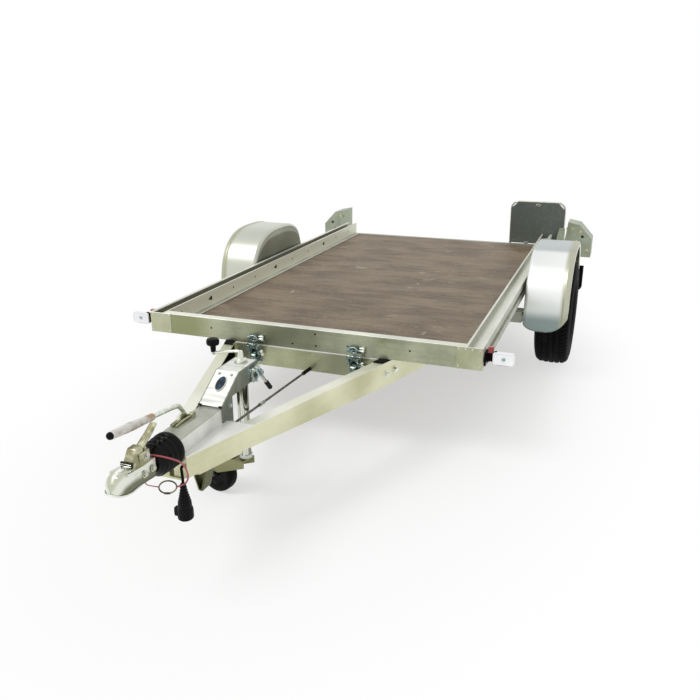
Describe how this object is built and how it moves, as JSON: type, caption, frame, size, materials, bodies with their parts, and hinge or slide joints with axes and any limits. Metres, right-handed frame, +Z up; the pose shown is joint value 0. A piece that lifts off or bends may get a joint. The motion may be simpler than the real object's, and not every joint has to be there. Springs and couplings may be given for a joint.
{
  "type": "tilt bed trailer",
  "caption": "Flat single axle tilt bed trailer with plywood floor between low steel rails, V drawbar with overrun coupling and jockey wheel, round mudguards and rear loading flaps.",
  "frame": {"origin": "on the floor, under the middle of the overall box", "axes": "+X to the right side in the picture, +Y rearward, +Z up"},
  "size_m": [2.292, 4.731, 0.8251],
  "materials": {
    "galvanised": "hot dip galvanised sheet, satin, olive tinge",
    "bright": "new galvanised sheet, bright satin",
    "zinc": "zinc plated, bright",
    "coupling_steel": "zinc plated pressed steel, satin",
    "rubber": "black rubber",
    "black_plastic": "black moulded plastic",
    "grey_grip": "pale grey plastic sleeve",
    "blue_cap": "dark blue plastic cap, plain",
    "red_cable": "red coated wire cable",
    "plywood": "brown film faced plywood, matt",
    "red_lens": "red lamp lens",
    "white_lens": "white lamp lens",
    "tyre": "black tyre rubber",
    "rim_steel": "silver painted steel rim",
    "dark_plate": "dark grey coated plate"
  },
  "bodies": {
    "chassis": {"drawbar_arms": "galvanised", "drawbar_cross_beam": "galvanised", "drawbar_top_plate": "galvanised", "drawbar_base_plate": "galvanised", "skid_bracket": "galvanised", "overrun_housing": "galvanised", "drawbar_bellows": "rubber", "coupling_head": "coupling_steel", "coupling_lever": "zinc", "handbrake_lever": "zinc", "handbrake_grip": "grey_grip", "jack_tower": "galvanised", "tower_disc": "blue_cap", "jack_clamp": "zinc", "jack_clamp_grip": "black_plastic", "brake_rod": "zinc", "brake_rod_boot": "rubber", "axle_beam": "galvanised", "swing_arms": "zinc", "mudguards": "bright", "guard_brackets": "zinc", "mudflaps": "rubber", "latch_bases": "zinc", "rest_pads": "rubber", "plug_cable": "black_plastic", "plug": "black_plastic", "breakaway_cable": "red_cable", "carabiner": "zinc"},
    "bed": {"front_beam": "galvanised", "corner_plates": "bright", "side_rails": "galvanised", "rear_beam": "galvanised", "deck_floor": "plywood", "cross_members": "galvanised", "pivot_lugs": "galvanised", "latch_hooks": "zinc", "lamp_boxes": "galvanised", "tail_lamps": "red_lens", "marker_arms": "rubber", "marker_lenses": "white_lens", "marker_reflectors": "red_lens"},
    "wheel_left": {"tyre_left": "tyre", "rim_left": "rim_steel"},
    "wheel_right": {"tyre_right": "tyre", "rim_right": "rim_steel"},
    "jack": {"jack_leg": "zinc", "jack_crank": "zinc", "crank_knob": "black_plastic"},
    "fork": {"jockey_fork": "zinc"},
    "jockey": {"jockey_wheel": "rubber"},
    "flap_left": {"flap_plate_left": "dark_plate", "flap_frame_left": "galvanised"},
    "flap_right": {"flap_plate_right": "dark_plate", "flap_frame_right": "galvanised"}
  },
  "joints": [
    {"name": "bed_tilt", "type": "hinge", "parent": "chassis", "child": "bed", "pos_m": [0, 0.99, 0.385], "axis": [-1, 0, 0], "range_deg": [0, 12]},
    {"name": "wheel_left_spin", "type": "hinge", "parent": "chassis", "child": "wheel_left", "pos_m": [-1.03, 0.69, 0.325], "axis": [1, 0, 0], "continuous": true},
    {"name": "wheel_right_spin", "type": "hinge", "parent": "chassis", "child": "wheel_right", "pos_m": [1.03, 0.69, 0.325], "axis": [1, 0, 0], "continuous": true},
    {"name": "jack_slide", "type": "slide", "parent": "chassis", "child": "jack", "axis": [0, 0, 1], "range_m": [0, 0.18]},
    {"name": "jockey_swivel", "type": "hinge", "parent": "jack", "child": "fork", "pos_m": [0, -1.524, 0.2], "axis": [0, 0, 1], "continuous": true},
    {"name": "jockey_spin", "type": "hinge", "parent": "fork", "child": "jockey", "pos_m": [-0.16037, -1.4852, 0.092], "axis": [0.2351, 0.972, 0], "continuous": true},
    {"name": "flap_left_hinge", "type": "hinge", "parent": "bed", "child": "flap_left", "pos_m": [-0.727, 1.998, 0.47], "axis": [1, 0, 0], "range_deg": [0, 124]},
    {"name": "flap_right_hinge", "type": "hinge", "parent": "bed", "child": "flap_right", "pos_m": [0.727, 1.998, 0.47], "axis": [-1, 0, 0], "range_deg": [0, 124]}
  ]
}
